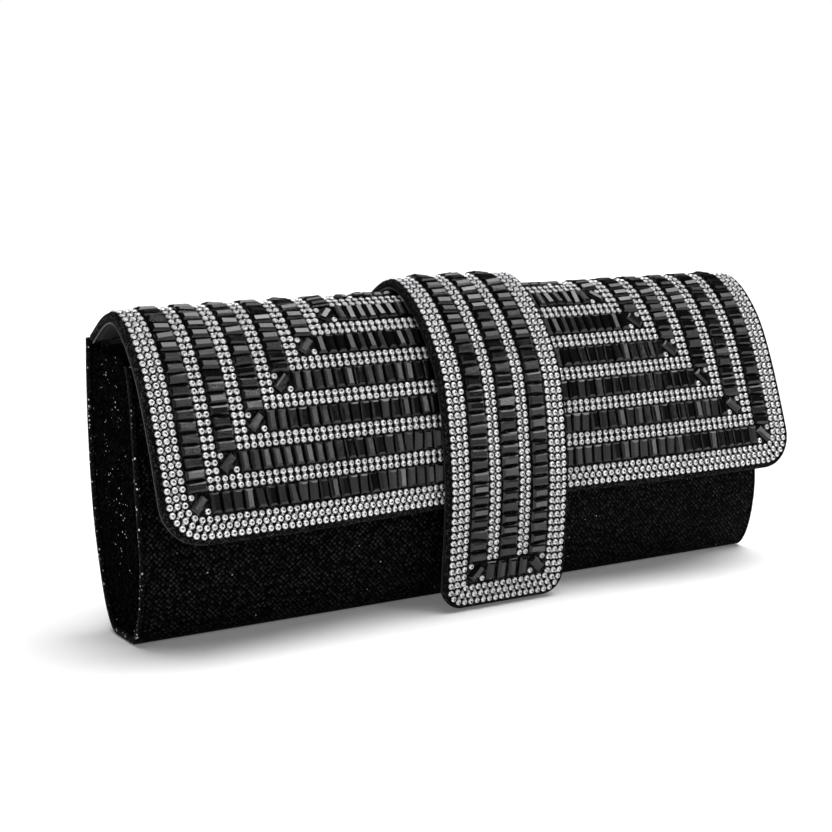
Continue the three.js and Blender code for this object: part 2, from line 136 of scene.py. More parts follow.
ROW_PITCH = 2.24  # between stones of a row, and between rows
LEAST_TURN = 0.3  # radius of a row at a corner
STONE_RADIUS = 0.92
STONE_TILT = 0.05  # tilts and turns are spreads, in radians
CUP_RADIUS = 0.52
BAGUETTE_LENGTH = 5.8
BAGUETTE_WIDTH = 3.05
BAGUETTE_TILT = 0.075
BAGUETTE_TURN = 0.012
FLAP_BAGUETTE_PITCH = 3.38
STRAP_BAGUETTE_PITCH = 3.55
CORNER_ANGLE = math.radians(45)
CORNER_BAGUETTE_SIZE = 0.97
CORNER_BAGUETTE_TILT = 0.03
CORNER_STONE_OFFSET = 2.1
CORNER_STONE_RADIUS = 0.9
CORNER_CLEARANCE = 0.1
BED = 0.06  # height of the stones' bases over the fabric

BOW_DEPTH = 8.2
BOW_HALF_LENGTH = 85
BOW_TOP = 66.5
BOW_RISE = 32.3
BOW_POWER = 1.2
BOW_DROP = 0.12

SWELL_DEPTH = 5.5
SWELL_HALF_LENGTH = 95
SWELL_BOTTOM = 2.5
SWELL_TOP = 77.5

SNAP_HEIGHT = 23
SNAP_RADIUS = 7
SNAP_HOLE = 3.7
SNAP_DEPTH = 3.7
SNAP_WALL = 0.7
SNAP_SEAT = 1
SNAP_LIFT = 0.4  # of the socket over the shell's outer face
STUD_PLATE = 1.2
STUD_PLACE = -2.9  # of its plate's back, from the strap's outer face
STUD_RADIUS = 2.4
STUD_DEPTH = 1.3
MAGNET_DROP = 0.2  # below the socket's rim
LAYER_GAP = 0.3
SHELL_LINING_INSET = 0.4

STITCH_LENGTH = 1.7
STITCH_PITCH = 2.5
STITCH_RADIUS = 0.2

CAMERA_PLACE = (-0.3010, -0.4535, 0.1483)  # in metres
CAMERA_TARGET = (-0.0341, -0.0260, 0.0620)
CAMERA_LENS = 77.0
HORIZON_LIGHT = 1.0
OVERHEAD_LIGHT = 5.6
FILL_LIGHT = 0.06
OVERHEAD = (0.22, 0.0, 0.975)
OVERHEAD_FADE = (0.85, 0.93)  # cosines of the angle from its middle
WALL_FADE = (0.13, 0.24)  # heights where the white wall ends


# ---------------------------------------------------------------- profiles and surfaces

class Profile:
    """A line in the YZ plane, from straight and Bezier pieces, measured by its own length."""

    SAMPLES = 240

    def __init__(self, start, *pieces):
        runs = [np.array([start], float)]
        t = np.linspace(0, 1, self.SAMPLES)[1:, None]
        for piece in pieces:
            a = runs[-1][-1]
            if len(piece) == 1:
                run = a + (np.array(piece[0]) - a) * t
            else:
                b, c, d = (np.array(p, float) for p in piece)
                run = (1 - t) ** 3 * a + 3 * (1 - t) ** 2 * t * b + 3 * (1 - t) * t**2 * c + t**3 * d
            runs.append(run)
        self.points = np.concatenate(runs)
        steps = np.linalg.norm(np.diff(self.points, axis=0), axis=1)
        self.at = np.concatenate([[0], np.cumsum(steps)])
        self.length = self.at[-1]

    def place(self, s):
        return np.stack([np.interp(s, self.at, self.points[:, i]) for i in (0, 1)], -1)

    def along(self, s, reach=0.3):
        step = self.place(np.minimum(s + reach, self.length)) - self.place(np.maximum(s - reach, 0))
        return step / np.linalg.norm(step, axis=-1, keepdims=True)


def cosine_bump(x, half_length):
    return np.where(np.abs(x) < half_length, np.cos(math.pi / 2 * x / half_length) ** 2, 0)


def flap_bow(x, y, z):
    """The strap presses the lower edge of the flap inwards."""
    reach = np.maximum(0, (BOW_TOP - z) / BOW_RISE) ** BOW_POWER
    depth = BOW_DEPTH * reach * cosine_bump(x, BOW_HALF_LENGTH)
    return depth, -BOW_DROP * depth


def shell_swell(x, y, z):
    """The front panel stands out a little behind the snap."""
    t = np.clip((z - SWELL_BOTTOM) / (SWELL_TOP - SWELL_BOTTOM), 0, 1)
    peak = (1 / 3) ** 1.5 * (2 / 3) ** 3
    share = np.where(y > 0, 0, t**1.5 * (1 - t) ** 3 / peak)
    return -SWELL_DEPTH * share * cosine_bump(x, SWELL_HALF_LENGTH), 0 * z


class Surface:
    """A profile swept along X, with an optional shift of the whole wall at each place."""

    def __init__(self, profile, shift=None):
        self.profile = profile
        self.length = profile.length
        self.shift = shift

    def points(self, x, s, n):
        x, s, n = np.broadcast_arrays(*(np.asarray(v, float) for v in (x, s, n)))
        place = self.profile.place(s)
        along = self.profile.along(s)
        y, z = place[..., 0], place[..., 1]
        moved_y, moved_z = self.shift(x, y, z) if self.shift else (0 * y, 0 * z)
        return np.stack([x, y + along[..., 1] * n + moved_y, z - along[..., 0] * n + moved_z], -1)

    def frames(self, x, s, n, reach=0.1):
        """Centres and axes of pieces that stand on the wall: across it, up it, and outwards."""
        across = self.points(x + reach, s, n) - self.points(x - reach, s, n)
        up = self.points(x, s - reach, n) - self.points(x, s + reach, n)
        across /= np.linalg.norm(across, axis=-1, keepdims=True)
        out = np.cross(across, up)
        out /= np.linalg.norm(out, axis=-1, keepdims=True)
        up = np.cross(out, across)
        return self.points(x, s, n), np.stack([across, up, out], -1)

    def distance_at_height(self, z, low, high):
        """The distance between two others where the middle of the wall is at height z."""
        s = np.linspace(low, high, 2000)
        heights = self.points(0, s, 0)[:, 2]
        return s[np.argmin(np.abs(heights - z))]


SHELL_FRONT = [((-6.6, 72.5), (-6, 55), (-9.5, 29)), ((-10.8, 20), (-7.6, 0), (-0.5, 0))]
SHELL_BACK = [((17, 0), (21, 13), (24.5, 27)), ((27.5, 40), (29, 64), (27.2, 84.5))]
shell = Surface(Profile((-2.7, 79.8), *SHELL_FRONT, ((10, 0),), *SHELL_BACK), shell_swell)
flap = Surface(
    Profile(
        (23.6, 85.6),
        ((19.3, 88.3), (14, 93.2), (8, 93.2)),
        ((1.8, 93.2), (-6.4, 84.8), (-10.6, 77.3)),
        ((-14.8, 70), (-21.6, 52.4), (-27.5, 32.9)),
    ),
    flap_bow,
)
strap = Surface(
    Profile(
        (21, 92.5),
        ((17.3, 95.5), (13, 97.7), (8.5, 97.7)),
        ((0.5, 97.7), (-12.2, 87), (-19, 72.6)),
        ((-22.3, 65.6), (-23.8, 50), (-24.6, 42)),
        ((-25.3, 33), (-23.4, 14), (-21.9, 0.9)),
    )
)
FRONT_LENGTH = Profile((-2.7, 79.8), *SHELL_FRONT).length
BASE_END = shell.length - Profile((10, 0), *SHELL_BACK).length


# ---------------------------------------------------------------- materials

class Tree:
    """A node tree under construction. A socket is named in words, or by _ and its number."""

    def __init__(self, owner):
        owner.use_nodes = True
        self.owner = owner
        self.tree = owner.node_tree

    def give(self, node, sockets):
        for socket, value in sockets.items():
            entry = node.inputs[int(socket[1:]) if socket[0] == "_" else socket.replace("_", " ")]
            if isinstance(value, bpy.types.NodeSocket):
                self.tree.links.new(value, entry)
            else:
                entry.default_value = value

    def node(self, kind, output=0, settings=None, **sockets):
        made = self.tree.nodes.new(kind)
        for key, value in (settings or {}).items():
            setattr(made, key, value)
        self.give(made, sockets)
        return made.outputs[output]

    def maths(self, operation, a, b=0.0, c=0.0):
        return self.node("ShaderNodeMath", settings={"operation": operation}, _0=a, _1=b, _2=c)


class Look(Tree):
    """A procedural material under construction. u and v of the cloth map are in centimetres."""

    def __init__(self, name, **sockets):
        super().__init__(bpy.data.materials.new(name))
        self.set(**sockets)

    def set(self, **sockets):
        self.give(self.tree.nodes["Principled BSDF"], sockets)
        return self.owner

    def finish(self, colour, rough, height, depth, strength):
        """The whole look of a surface with relief, depth in metres."""
        bump = self.node("ShaderNodeBump", Height=height, Distance=depth, Strength=strength)
        return self.set(Base_Color=colour, Roughness=rough, Normal=bump)

    def shade(self, value):
        return self.node("ShaderNodeCombineColor", Red=value, Green=value, Blue=value)

    def mix(self, share, a, b):
        settings = {"data_type": "RGBA"}
        return self.node("ShaderNodeMix", output=2, settings=settings, _0=share, _6=a, _7=b)

    def ramp(self, value, low, high, to_low=0.0, to_high=1.0):
        sockets = {"_1": low, "_2": high, "_3": to_low, "_4": to_high}
        return self.node("ShaderNodeMapRange", _0=value, **sockets)

    def cloth(self):
        return self.node("ShaderNodeUVMap", settings={"uv_map": "cloth"})

    def place(self):
        return self.node("ShaderNodeTexCoord", output=3)

    def noise(self, where, scale, detail=3.0, roughness=0.6):
        sockets = {"Vector": where, "Scale": scale, "Detail": detail, "Roughness": roughness}
        return self.node("ShaderNodeTexNoise", **sockets)

    def cells(self, where, scale, output=0, randomness=1.0):
        sockets = {"Vector": where, "Scale": scale, "Randomness": randomness}
        return self.node("ShaderNodeTexVoronoi", output, **sockets)

    def chances(self, where, scale, randomness=1.0):
        """Two random numbers of each cell's own."""
        colour = self.cells(where, scale, 1, randomness)
        return [self.node("ShaderNodeSeparateColor", output, Color=colour) for output in (0, 1)]


def grey(value):
    return (value, value, value, 1)


def flakes(look, scale, share, size):
    """A few bright flecks: which points are on one, and how bright each is."""
    where = look.place()
    chance, bright = look.chances(where, scale)
    small = look.maths("LESS_THAN", look.cells(where, scale), size)
    on = look.maths("MULTIPLY", small, look.maths("GREATER_THAN", chance, 1 - share))
    return on, look.ramp(look.maths("POWER", bright, 2.0), 0, 1, 0.12, 0.95)


LOOPS_PER_CM = 8.6
LOOP_DISORDER = 0.42
KNIT_SLANT = 0.78  # radians


def glitter_cloth(name, sparkle_share, light, dark, flake_scale=1300, flake_size=0.3, gloss=0.03):
    """Black metallic-thread knit: diagonal rows of raised loops and a few bright flakes."""
    look = Look(name, Specular_IOR_Level=gloss)
    turned = look.node("ShaderNodeMapping", Vector=look.cloth(), Rotation=(0, 0, KNIT_SLANT))
    loops = look.cells(turned, LOOPS_PER_CM, randomness=LOOP_DISORDER)
    strength, hue = look.chances(turned, LOOPS_PER_CM, LOOP_DISORDER)
    threads = look.noise(turned, 60, detail=4)
    dots = look.ramp(look.maths("MULTIPLY_ADD", threads, 0.25, loops), 0.3, 0.62, 1.0, 0.0)
    shade = look.ramp(look.maths("MULTIPLY", dots, look.ramp(strength, 0, 1, 0.25, 1.0)), 0, 1, dark, light)
    tint = look.mix(hue, (1.06, 0.88, 1.12, 1), (0.9, 1.04, 0.92, 1))
    on, bright = flakes(look, flake_scale, sparkle_share, flake_size)
    height = look.maths("MULTIPLY_ADD", threads, 0.4, look.maths("SUBTRACT", 1.0, loops))
    multiply = {"data_type": "RGBA", "blend_type": "MULTIPLY"}
    knit = look.node("ShaderNodeMix", 2, multiply, _0=1.0, _6=tint, _7=look.shade(shade))
    colour = look.mix(on, knit, look.shade(bright))
    return look.finish(colour, look.ramp(on, 0, 1, 0.65, 0.35), height, 0.0003, 0.7)


def fine_cloth(name, light, dark):
    """Closely woven black fabric with a granular surface."""
    look = Look(name, Specular_IOR_Level=0.04)
    where = look.place()
    grains_per_metre = 1700
    grains = look.cells(where, grains_per_metre)
    own = look.chances(where, grains_per_metre)[0]
    slubs = look.noise(where, 700, detail=4)
    height = look.maths("MULTIPLY_ADD", slubs, 0.6, look.maths("SUBTRACT", 1.0, grains))
    grain = look.maths("MULTIPLY", look.ramp(grains, 0.1, 0.65, 1.0, 0.0), look.maths("POWER", own, 1.6))
    shade = look.ramp(grain, 0, 1, dark, light)
    rough = look.ramp(slubs, 0.3, 0.7, 0.7, 0.92)
    return look.finish(look.shade(shade), rough, height, 0.0002, 0.9)


def satin(name, value):
    """Satin lining: fine ribs along the bag and a soft sheen."""
    look = Look(name, Sheen_Weight=0.12, Sheen_Roughness=0.35, Specular_IOR_Level=0.3)
    cloth = look.cloth()
    settings = {"wave_type": "BANDS", "bands_direction": "Y"}
    ribs = look.node("ShaderNodeTexWave", settings=settings, Vector=cloth, Scale=14.0, Distortion=0.6)
    folds = look.noise(cloth, 0.8, detail=2)
    # The colour grows lighter and darker with the folds: painted light and shade of the folds.
    shade = look.ramp(folds, 0.3, 0.7, value * 0.75, value * 1.2)
    height = look.maths("MULTIPLY_ADD", ribs, 0.12, folds)
    rough = look.ramp(folds, 0.3, 0.7, 0.34, 0.5)
    return look.finish(look.shade(shade), rough, height, 0.0004, 0.6)


# Each facet's own tone: on the stones it carries painted reflections.
def tone(look):
    return look.node("ShaderNodeAttribute", output=2, settings={"attribute_name": "tone"})


def crystal():
    """Foil-backed glass: every facet returns its own share of the light, painted into its colour by its
    tone as a painted reflection.
    """
    look = Look("crystal", Metallic=0.3, Coat_Weight=0.5, Coat_Roughness=0.05)
    shade = look.ramp(tone(look), 0, 1, 0.02, 1.0)
    blue = look.maths("MULTIPLY", shade, 1.02)
    colour = look.node("ShaderNodeCombineColor", Red=shade, Green=shade, Blue=blue)
    haze = look.noise(look.place(), 900, detail=2)
    return look.set(Base_Color=colour, Roughness=look.ramp(haze, 0.3, 0.7, 0.2, 0.4))


def jet():
    """Black step-cut glass, streaked along its length. A few facets, mostly tables, are painted paler than
    the rest: painted reflections.
    """
    look = Look("jet", IOR=1.5, Specular_IOR_Level=0.42)
    multiply = {"operation": "MULTIPLY"}
    drawn_out = look.node("ShaderNodeVectorMath", settings=multiply, _0=look.cloth(), _1=(5, 60, 5))
    streaks = look.noise(drawn_out, 1.0, detail=5, roughness=0.7)
    marks = look.noise(look.place(), 1500, detail=4)
    # pale: painted reflections, a few facets raised to grey by their tone
    pale = look.ramp(look.maths("POWER", tone(look), 7.0), 0, 1, 0.0015, 0.16)
    shade = look.maths("MULTIPLY", pale, look.ramp(streaks, 0.3, 0.7, 0.4, 1.5))
    rough = look.ramp(streaks, 0.35, 0.7, 0.05, 0.24)
    height = look.maths("MULTIPLY_ADD", marks, 0.5, streaks)
    return look.finish(look.shade(shade), rough, height, 0.00006, 0.5)


def cup_metal():
    """The little grey cups that hold the stones."""
    look = Look("cup_metal", Metallic=0.4)
    tarnish = look.noise(look.place(), 1200)
    shade = look.ramp(tarnish, 0.3, 0.7, 0.3, 0.75)
    return look.set(Base_Color=look.shade(shade), Roughness=look.ramp(tarnish, 0.3, 0.7, 0.25, 0.5))


def nickel():
    """Polished nickel plate with turning marks, and paler where its edges are worn."""
    look = Look("nickel", Metallic=1.0)
    where = look.place()
    settings = {"wave_type": "RINGS"}
    turned = look.node("ShaderNodeTexWave", settings=settings, Vector=where, Scale=900.0, Distortion=3.0)
    wear = look.noise(where, 500, detail=5)
    edge = look.node("ShaderNodeNewGeometry", output=7)
    worn = look.ramp(edge, 0.48, 0.56, 0.0, 1.0)
    colour = look.mix(worn, (0.72, 0.73, 0.75, 1), (0.9, 0.88, 0.84, 1))
    rough = look.ramp(wear, 0.3, 0.75, 0.14, 0.38)
    return look.finish(colour, rough, turned, 0.00002, 0.35)


def ferrite():
    """The dull grey face of a magnet."""
    look = Look("ferrite", Metallic=0.3)
    grain = look.noise(look.place(), 2500, detail=4)
    shade = look.ramp(grain, 0.3, 0.7, 0.05, 0.13)
    return look.finish(look.shade(shade), 0.6, grain, 0.00008, 0.6)


def thread():
    """Twisted sewing thread."""
    look = Look("thread", Sheen_Weight=0.2)
    settings = {"wave_type": "BANDS", "bands_direction": "DIAGONAL"}
    twist = look.node("ShaderNodeTexWave", settings=settings, Vector=look.place(), Scale=2600.0)
    shade = look.ramp(twist, 0, 1, 0.03, 0.09)
    return look.finish(look.shade(shade), 0.55, twist, 0.00008, 0.7)


LOOKS = {
    "shell": glitter_cloth("glitter_knit", 0.002, 0.03, 0.0006, gloss=0.015),
    # The end panels' copy of the knit is darker and has many more bright flakes: painted shade and painted
    # glints.
    "end": glitter_cloth("glitter_knit_end_painted_shade_glints", 0.075, 0.012, 0.001, 1130, 0.36, 0.0),
    # The shell's rim takes a copy with still more bright flakes: a painted highlight along the rim.
    "edge": glitter_cloth("glitter_knit_rim_painted_highlight", 0.2, 0.02, 0.0008, 1100, 0.32),
    "plain": fine_cloth("fine_black_cloth", 0.075, 0.002),
    "satin": satin("satin_lining", 0.012),
    # A paler copy of the lining satin, worn by the flap lining's rim: a painted highlight along its edge.
    "binding": satin("satin_rim_painted_highlight", 0.03),
    "crystal": crystal(),
    "jet": jet(),
    "cup": cup_metal(),
    "nickel": nickel(),
    "ferrite": ferrite(),
    "thread": thread(),
}


# ---------------------------------------------------------------- mesh building

def make_mesh(name, points, faces, looks, cloth=None, smooth=True, tones=None, look_index=None):
    """A mesh object from points in millimetres. cloth holds each point's map place in centimetres."""
    mesh = bpy.data.meshes.new(name)
    mesh.from_pydata((np.asarray(points) * MM).tolist(), [], faces)
    for look in looks:
        mesh.materials.append(LOOKS[look])
    if cloth is not None:
        corner_points = np.zeros(len(mesh.loops), np.int32)
        mesh.loops.foreach_get("vertex_index", corner_points)
        layer = mesh.uv_layers.new(name="cloth")
        layer.data.foreach_set("uv", np.asarray(cloth, np.float32)[corner_points].ravel())
    if tones is not None:
        attribute = mesh.attributes.new("tone", "FLOAT", "FACE")
        attribute.data.foreach_set("value", np.asarray(tones, np.float32))
    if look_index is not None:
        mesh.polygons.foreach_set("material_index", np.asarray(look_index, np.int32))
    mesh.polygons.foreach_set("use_smooth", np.full(len(mesh.polygons), smooth))
    mesh.update()
    piece = bpy.data.objects.new(name, mesh)
    bpy.context.scene.collection.objects.link(piece)
    return piece


def settle(piece, body, *nodes):
    """Rides a piece on its body and hides the CAD nodes that it stands for."""
    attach(piece, body)
    if nodes:
        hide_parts(*nodes)
    return piece


RIM_STEPS = 4
CORNER_ROWS = 10


@dataclass
class Outline:
    """A sheet's edges on a surface: a rectangle whose two far corners may be rounded."""

    half: float
    start: float
    end: float
    corner: float = 0.0

    def grid(self, inset, columns, rows):
        """x and s of a grid over the sheet, with every edge moved in by inset."""
        corner = max(self.corner - inset, 0)
        end = self.end - inset
        s = np.linspace(self.start + inset, end - corner, rows + 1)
        narrowed = np.zeros(rows + 1)
        if self.corner:
            turn = np.linspace(0, math.pi / 2, CORNER_ROWS + 1)[1:]
            s = np.concatenate([s, end - corner + corner * np.sin(turn)])
            narrowed = np.concatenate([narrowed, corner * (1 - np.cos(turn))])
        across = np.linspace(-1, 1, columns + 1)
        x = across[None, :] * (self.half - inset - narrowed)[:, None]
        return x, np.repeat(s[:, None], columns + 1, axis=1)


def rim_loop(rows, columns):
    """The grid's border points in order, as (row, column) index arrays."""
    down, across = rows - 1, columns - 1
    r = np.r_[[0] * across, np.arange(down), [down] * across, np.arange(down, 0, -1)]
    c = np.r_[np.arange(across), [across] * down, np.arange(across, 0, -1), [0] * down]
    return r, c


def slab(name, surface, outline, top, bottom, radius, look, step=2.0, rim=None):
    """A closed sheet or wrapped board between two heights on a surface, with a rounded rim.

    step is the grid's size, and rim is the look of the rim where it differs.
    """
    columns = max(2, round(2 * outline.half / step))
    rows = max(2, round((outline.end - outline.start - outline.corner) / step))
    turns = np.linspace(0, math.pi / 2, RIM_STEPS + 1)
    rings = [(radius * (1 - math.sin(a)), top - radius * (1 - math.cos(a))) for a in turns]
    rings += [(inset, top + bottom - n) for inset, n in reversed(rings)]
    grid_x, grid_s = outline.grid(radius, columns, rows)
    shape = grid_x.shape
    r, c = rim_loop(*shape)
    parts = [(grid_x.ravel(), grid_s.ravel(), top)]
    for inset, n in rings[1:-1]:
        x, s = outline.grid(inset, columns, rows)
        parts.append((x[r, c], s[r, c], n))
    parts.append((grid_x.ravel(), grid_s.ravel(), bottom))
    points = np.concatenate([surface.points(x, s, n) for x, s, n in parts])
    cloth = np.concatenate([np.stack([x + n, s + n], -1) for x, s, n in parts]) / 10
    index = np.arange(grid_x.size).reshape(shape)
    faces = quads(index)
    loop_starts = grid_x.size + len(r) * np.arange(len(rings) - 2)
    loops = [index[r, c]] + [np.arange(start, start + len(r)) for start in loop_starts]
    low_index = index + grid_x.size + len(r) * (len(rings) - 2)
    loops.append(low_index[r, c])
    for a, b in zip(loops, loops[1:]):
        a2, b2 = np.roll(a, -1), np.roll(b, -1)
        faces += np.stack([a, b, b2, a2], -1).tolist()
    grid_faces = (shape[0] - 1) * (shape[1] - 1)
    rim_faces = len(faces) - grid_faces
    faces += [f[::-1] for f in quads(low_index)]
    if rim is None:
        return make_mesh(name, points, faces, [look], cloth)
    looks = np.zeros(len(faces))
    looks[grid_faces : grid_faces + rim_faces] = 1
    return make_mesh(name, points, faces, [look, rim], cloth, look_index=looks)


def quads(index):
    """The faces of a grid of point numbers. They face outwards when rows run down the wall."""
    a, b, c, d = index[:-1, :-1], index[:-1, 1:], index[1:, 1:], index[1:, :-1]
    return np.stack([a, d, c, b], -1).reshape(-1, 4).tolist()


# ---------------------------------------------------------------- stones

# Lowest and highest tone of each kind of facet. The crystal tones are painted reflections: dark tables and
# bright crown facets.
CRYSTAL_REFLECTION_TONES = {"table": (0, 0.3), "star": (0.3, 1), "kite": (0.8, 1), "side": (0, 0.6), "wall": (0, 0.04)}
# The jet tones are painted reflections too: a few facets, mostly tables, come out pale grey.
JET_REFLECTION_TONES = {"table": (0, 1), "star": (0, 0.5), "kite": (0, 0.4), "wall": (0, 0.1)}
PLAIN_TONE = (0, 1)


# Each shape is its points, its faces and the lowest and highest tone of each face.

def round_stone():
    """A round flat-backed stone: table, star and kite facets, girdle and base. Radius 1."""
    table_radius, table_height = 0.4, 0.72
    middle_radius, middle_height = 0.74, 0.5
    girdle_height = 0.16
    base_radius = 0.92

    def ring(count, radius, height, turn=0.0):
        angle = (np.arange(count) + turn) * 2 * math.pi / count
        return np.stack([radius * np.cos(angle), radius * np.sin(angle), np.full(count, height)], -1)

    points = np.concatenate([
        ring(8, table_radius, table_height),
        ring(8, middle_radius, middle_height, 0.5),
        ring(16, 1.0, girdle_height),
        ring(8, base_radius, 0),
    ])
    table, middle, girdle, base = 0, 8, 16, 32
    faces = [list(range(8))]
    kinds = ["table"]
    for i in range(8):
        j = (i + 1) % 8
        h = (i - 1) % 8
        faces.append([table + i, middle + i, table + j])
        faces.append([table + i, middle + h, girdle + 2 * i, middle + i])
        faces.append([middle + i, girdle + 2 * i, girdle + 2 * i + 1])
        faces.append([middle + i, girdle + 2 * i + 1, girdle + 2 * j])
        faces.append([girdle + 2 * i, base + i, base + j, girdle + 2 * j, girdle + 2 * i + 1])
        kinds += ["star", "kite", "side", "side", "wall"]
    faces.append([base + i for i in range(7, -1, -1)])
    kinds.append("wall")
    return points, faces, [CRYSTAL_REFLECTION_TONES[kind] for kind in kinds]


# How far each level of a baguette is set in from its ends and its sides, and its height.
BAGUETTE_LEVELS = [(0.7, 0.8, 1.16), (0.26, 0.3, 0.74), (0, 0, 0.4), (0, 0, 0)]


def step_stone():
    """A step-cut baguette: table, two steps, wall and base, in millimetres, its length along X."""
    rings = [(BAGUETTE_LENGTH / 2 - a, BAGUETTE_WIDTH / 2 - b, z) for a, b, z in BAGUETTE_LEVELS]
    points = [(sx * x, sy * y, z) for x, y, z in rings for sx, sy in ((1, 1), (-1, 1), (-1, -1), (1, -1))]
    faces = [[0, 1, 2, 3]]
    kinds = ["table"]
    for k, kind in enumerate(["star", "kite", "wall"]):
        for i in range(4):
            a, b = 4 * k + i, 4 * k + (i + 1) % 4
            faces.append([a, a + 4, b + 4, b])
            kinds.append(kind)
    faces.append([15, 14, 13, 12])
    kinds.append("wall")
    return np.array(points), faces, [JET_REFLECTION_TONES[kind] for kind in kinds]


def cup_stone():
    """A small four-sided nub of metal between round stones. Radius 1."""
    ring = [(1, 0, 0), (0, 1, 0), (-1, 0, 0), (0, -1, 0)]
    tip = [(0.4 * x, 0.4 * y, 1) for x, y, z in ring]
    sides = [[i, (i + 1) % 4, (i + 1) % 4 + 4, i + 4] for i in range(4)]
    faces = sides + [[4, 5, 6, 7], [3, 2, 1, 0]]
    return np.array(ring + tip, float), faces, [PLAIN_TONE] * len(faces)


class Setting:
    """Stones of one piece, gathered before they are joined into one mesh."""

    MAP_SPREAD = 50  # each stone takes its streaks from its own place, in centimetres

    def __init__(self, surface):
        self.surface = surface
        self.parts = []
        self.faces = []
        self.count = 0

    def stamp(self, shape, look, x, s, turn=0.0, tilt=0.0, size=1.0, n=BED):
        """Sets copies of a shape at places on the surface, each turned in its own plane and tilted."""
        points, faces, tones = shape
        x, s = (places.astype(float) for places in np.broadcast_arrays(x, s))
        centres, axes = self.surface.frames(x, s, np.full(len(x), n))
        turn = np.broadcast_to(turn, x.shape)
        spin = np.zeros((len(x), 3, 3))
        spin[:, 0, 0] = spin[:, 1, 1] = np.cos(turn)
        spin[:, 0, 1] = -np.sin(turn)
        spin[:, 1, 0] = np.sin(turn)
        spin[:, 2, 2] = 1
        lean = RANDOM.normal(0, tilt, (len(x), 2)) if tilt else np.zeros((len(x), 2))
        tip = np.tile(np.eye(3), (len(x), 1, 1))
        tip[:, 2, 0], tip[:, 0, 2] = -lean[:, 0], lean[:, 0]
        tip[:, 2, 1], tip[:, 1, 2] = -lean[:, 1], lean[:, 1]
        placed = np.einsum("nij,njk,nkl,pl->npi", axes, tip, spin, points * size) + centres[:, None]
        maps = RANDOM.uniform(0, self.MAP_SPREAD, (len(x), 1, 2)) + points[None, :, :2] / 10
        for i in range(len(x)):
            start = self.count + i * len(points)
            self.faces += [[start + p for p in face] for face in faces]
        low, high = np.array(tones, float).T
        own_tones = low + (high - low) * RANDOM.random((len(x), len(faces)))
        look_index = np.full(len(x) * len(faces), look)
        self.parts.append((placed.reshape(-1, 3), maps.reshape(-1, 2), own_tones.ravel(), look_index))
        self.count += len(x) * len(points)

    def finish(self, name, looks, body, *nodes):
        points, maps, tones, look_index = (np.concatenate(part) for part in zip(*self.parts))
        piece = make_mesh(name, points, self.faces, looks, maps, False, tones, look_index)
        return settle(piece, body, *nodes)


ROUND = round_stone()
BAGUETTE = step_stone()
CUP = cup_stone()


# x or s may be one number, for a straight row.

def round_stones(setting, x, s, look=0, radius=STONE_RADIUS):
    turn = RANDOM.uniform(0, 2 * math.pi, np.broadcast(x, s).size)
    setting.stamp(ROUND, look, x, s, turn, STONE_TILT, radius)


def cups(setting, x, s):
    setting.stamp(CUP, 1, x, s, size=CUP_RADIUS)


def baguettes(setting, x, s, turn=0.0):
    turn = turn + RANDOM.normal(0, BAGUETTE_TURN, np.broadcast(x, s).size)
    setting.stamp(BAGUETTE, 0, x, s, turn, BAGUETTE_TILT)


def u_line(outline, inset, spacing, phase=0.0):
    """Evenly spaced (x, s) places down one side of a sheet, along its foot and up the other side."""
    radius = max(outline.corner - inset, LEAST_TURN)
    side = outline.half - inset
    bottom = outline.end - inset
    turn = np.linspace(0, math.pi / 2, 40)
    arc_x = -side + radius * (1 - np.cos(turn))
    arc_s = bottom - radius + radius * np.sin(turn)
    x = np.concatenate([[-side], arc_x, -arc_x[::-1], [side]])
    s = np.concatenate([[outline.start], arc_s, arc_s[::-1], [outline.start]])
    at = np.concatenate([[0], np.cumsum(np.hypot(np.diff(x), np.diff(s)))])
    count = round(at[-1] / spacing)
    places = (np.arange(count - (phase > 0)) + 0.5 + phase) * at[-1] / count
    return np.interp(places, at, x), np.interp(places, at, s)


def border(surface, outline, margin, name, body, node):
    """Three rows of round stones that follow a sheet's edge, with cups between the rows."""
    setting = Setting(surface)
    middle = margin + THREE_ROW_BAND / 2
    for k in (-1, 0, 1):
        round_stones(setting, *u_line(outline, middle + k * ROW_PITCH, ROW_PITCH))
    for k in (-0.5, 0.5):
        cups(setting, *u_line(outline, middle + k * ROW_PITCH, ROW_PITCH, 0.5))
    return setting.finish(name, ["crystal", "cup"], body, node)


def even_places(low, high, spacing):
    """Places at about the given spacing that fill a stretch, the first and last half a step in."""
    count = max(1, round((high - low) / spacing))
    return low + (np.arange(count) + 0.5) * (high - low) / count


def end_places(low, high, spacing):
    """Places at about the given spacing from one end of a stretch to the other."""
    return np.linspace(low, high, max(2, round((high - low) / spacing) + 1))


def mirrored(setting, draw, x, s):
    """Sets the same stones on both sides of the middle."""
    for side in (-1, 1):
        draw(setting, side * x, s)


def baguette_band(surface, outline, centre_inset, pitch, name, body, node):
    """Baguettes lying across a U-shaped band, with a slanting one and two stones at each corner."""
    setting = Setting(surface)
    side = outline.half - centre_inset
    foot = outline.end - centre_inset
    reach = BAGUETTE_BAND / 2 + CORNER_CLEARANCE
    legs = even_places(outline.start + BAND_GAP, foot - reach, pitch)
    mirrored(setting, baguettes, side, legs)
    baguettes(setting, even_places(-(side - reach), side - reach, pitch), foot, math.pi / 2)
    shape = (CORNER_BAGUETTE_TILT, CORNER_BAGUETTE_SIZE)
    for sign in (-1, 1):
        setting.stamp(BAGUETTE, 0, [sign * side], foot, -sign * CORNER_ANGLE, *shape)
    offset = np.array([CORNER_STONE_OFFSET, -CORNER_STONE_OFFSET])
    for sign in (-1, 1):
        round_stones(setting, sign * (side + offset), foot - offset, 1, CORNER_STONE_RADIUS)
    return setting.finish(name, ["jet", "crystal"], body, node)


